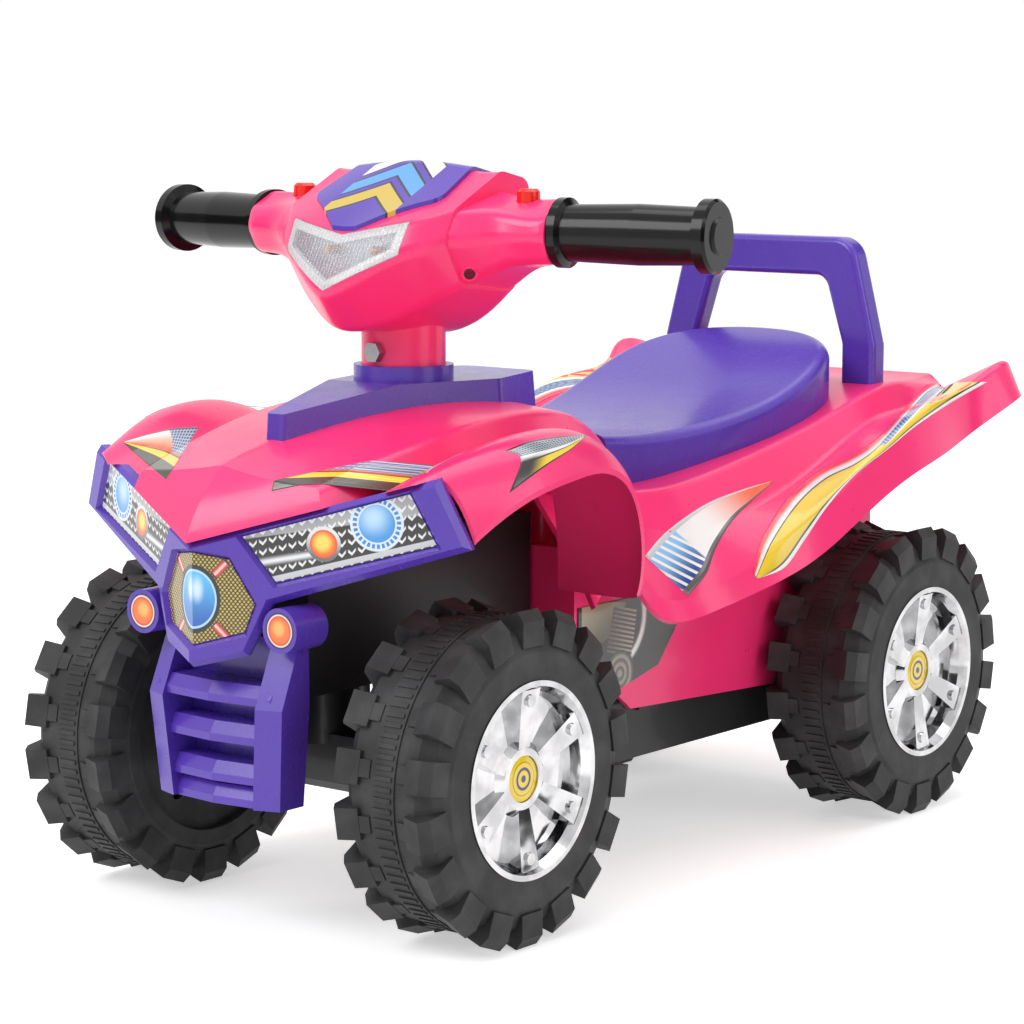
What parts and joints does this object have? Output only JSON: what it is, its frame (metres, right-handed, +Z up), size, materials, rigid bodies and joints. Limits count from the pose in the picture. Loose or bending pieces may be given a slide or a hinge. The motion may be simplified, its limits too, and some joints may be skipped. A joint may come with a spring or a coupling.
{
  "type": "kids ride-on quad bike",
  "caption": "Foot-to-floor ride-on quad bike for a toddler with chunky lugged wheels, handlebar steering, moulded seat, push handle and a lamp pod with sound buttons.",
  "frame": {"origin": "on the floor, halfway between the front and rear axles, on the centre line", "axes": "-Y towards the nose, +X to the rider's left, +Z up"},
  "size_m": [0.3864, 0.5985, 0.3977],
  "materials": {
    "pink": "glossy moulded polypropylene",
    "purple": "glossy moulded polypropylene",
    "black_frame": "satin black moulding",
    "black_grip": "glossy soft vinyl",
    "steel": "zinc plated",
    "white_bush": "natural acetal",
    "lamp_print": "printed film",
    "emblem_print": "printed film",
    "engine_print": "printed film",
    "orange_lens": "glossy",
    "amber_led": "tinted epoxy",
    "clear": "clear moulded styrene",
    "reflector": "vacuum metallised",
    "red_button": "glossy",
    "board": "solder mask",
    "cells": "plain sleeve",
    "tyre_black": "matte blown polyethylene",
    "chromed": "vacuum metallised",
    "yellow_cap": "glossy"
  },
  "bodies": {
    "frame": {"chassis": "black_frame", "lower_body": "pink", "rear_body_shell": "pink", "hood_shell": "pink", "column_cover": "purple", "front_mask": "purple", "bumper_grille": "purple", "headlight_panel_left": "lamp_print", "headlight_panel_right": "lamp_print", "emblem_panel": "emblem_print", "fog_lamp_lenses": "orange_lens", "seat": "purple", "push_handle": "purple", "rear_axle": "steel", "rear_axle_nuts": "steel", "body_screws": "steel", "engine_panel_left": "engine_print", "engine_panel_right": "engine_print", "steering_bush": "white_bush"},
    "steering": {"handlebar_lower_shell": "pink", "handlebar_upper_shell": "pink", "handlebar_top_cap": "purple", "headlamp_lens": "clear", "headlamp_reflector": "reflector", "lamp_leds": "amber_led", "grip_left": "black_grip", "grip_right": "black_grip", "handlebar_tube": "steel", "circuit_board": "board", "speaker": "black_frame", "battery_cover": "purple", "batteries": "cells", "steering_shaft": "steel", "column_bolt": "steel"},
    "button_left": {"button_left": "red_button"},
    "button_right": {"button_right": "red_button"},
    "front_carrier": {"axle_carrier": "black_frame", "carrier_arm": "steel", "front_axle": "steel", "front_axle_nuts": "steel"},
    "drag_link": {"drag_link": "steel"},
    "wheel_front_left": {"wheel_outer_half_front_left": "tyre_black", "wheel_inner_half_front_left": "tyre_black", "hub_cap_front_left": "chromed", "centre_cap_front_left": "yellow_cap"},
    "wheel_front_right": {"wheel_outer_half_front_right": "tyre_black", "wheel_inner_half_front_right": "tyre_black", "hub_cap_front_right": "chromed", "centre_cap_front_right": "yellow_cap"},
    "wheel_rear_left": {"wheel_outer_half_rear_left": "tyre_black", "wheel_inner_half_rear_left": "tyre_black", "hub_cap_rear_left": "chromed", "centre_cap_rear_left": "yellow_cap"},
    "wheel_rear_right": {"wheel_outer_half_rear_right": "tyre_black", "wheel_inner_half_rear_right": "tyre_black", "hub_cap_rear_right": "chromed", "centre_cap_rear_right": "yellow_cap"}
  },
  "joints": [
    {"name": "handlebar_turn", "type": "hinge", "parent": "frame", "child": "steering", "pos_m": [0, -0.128, 0.2], "axis": [0, 0, 1], "range_deg": [-15, 15]},
    {"name": "front_axle_turn", "type": "hinge", "parent": "frame", "child": "front_carrier", "pos_m": [0, -0.195, 0.14], "axis": [0, 0, 1], "range_deg": [-15, 15]},
    {"name": "drag_link_pivot", "type": "hinge", "parent": "steering", "child": "drag_link", "pos_m": [0.03, -0.128, 0.155], "axis": [0, 0, 1], "range_deg": [-15, 15]},
    {"name": "wheel_roll_front_left", "type": "hinge", "parent": "front_carrier", "child": "wheel_front_left", "pos_m": [0.111, -0.195, 0.0875], "axis": [1, 0, 0], "continuous": true},
    {"name": "wheel_roll_front_right", "type": "hinge", "parent": "front_carrier", "child": "wheel_front_right", "pos_m": [-0.111, -0.195, 0.0875], "axis": [1, 0, 0], "continuous": true},
    {"name": "wheel_roll_rear_left", "type": "hinge", "parent": "frame", "child": "wheel_rear_left", "pos_m": [0.111, 0.195, 0.0875], "axis": [1, 0, 0], "continuous": true},
    {"name": "wheel_roll_rear_right", "type": "hinge", "parent": "frame", "child": "wheel_rear_right", "pos_m": [-0.111, 0.195, 0.0875], "axis": [1, 0, 0], "continuous": true},
    {"name": "button_press_left", "type": "slide", "parent": "steering", "child": "button_left", "axis": [0, 0, -1], "range_m": [0, 0.0016], "stiffness_N_per_m": 600, "springref_m": -0.001},
    {"name": "button_press_right", "type": "slide", "parent": "steering", "child": "button_right", "axis": [0, 0, -1], "range_m": [0, 0.0016], "stiffness_N_per_m": 600, "springref_m": -0.001}
  ],
  "couplings": [
    {"joint": "front_axle_turn", "follows": "handlebar_turn", "ratio": 1},
    {"joint": "drag_link_pivot", "follows": "handlebar_turn", "ratio": -1}
  ]
}
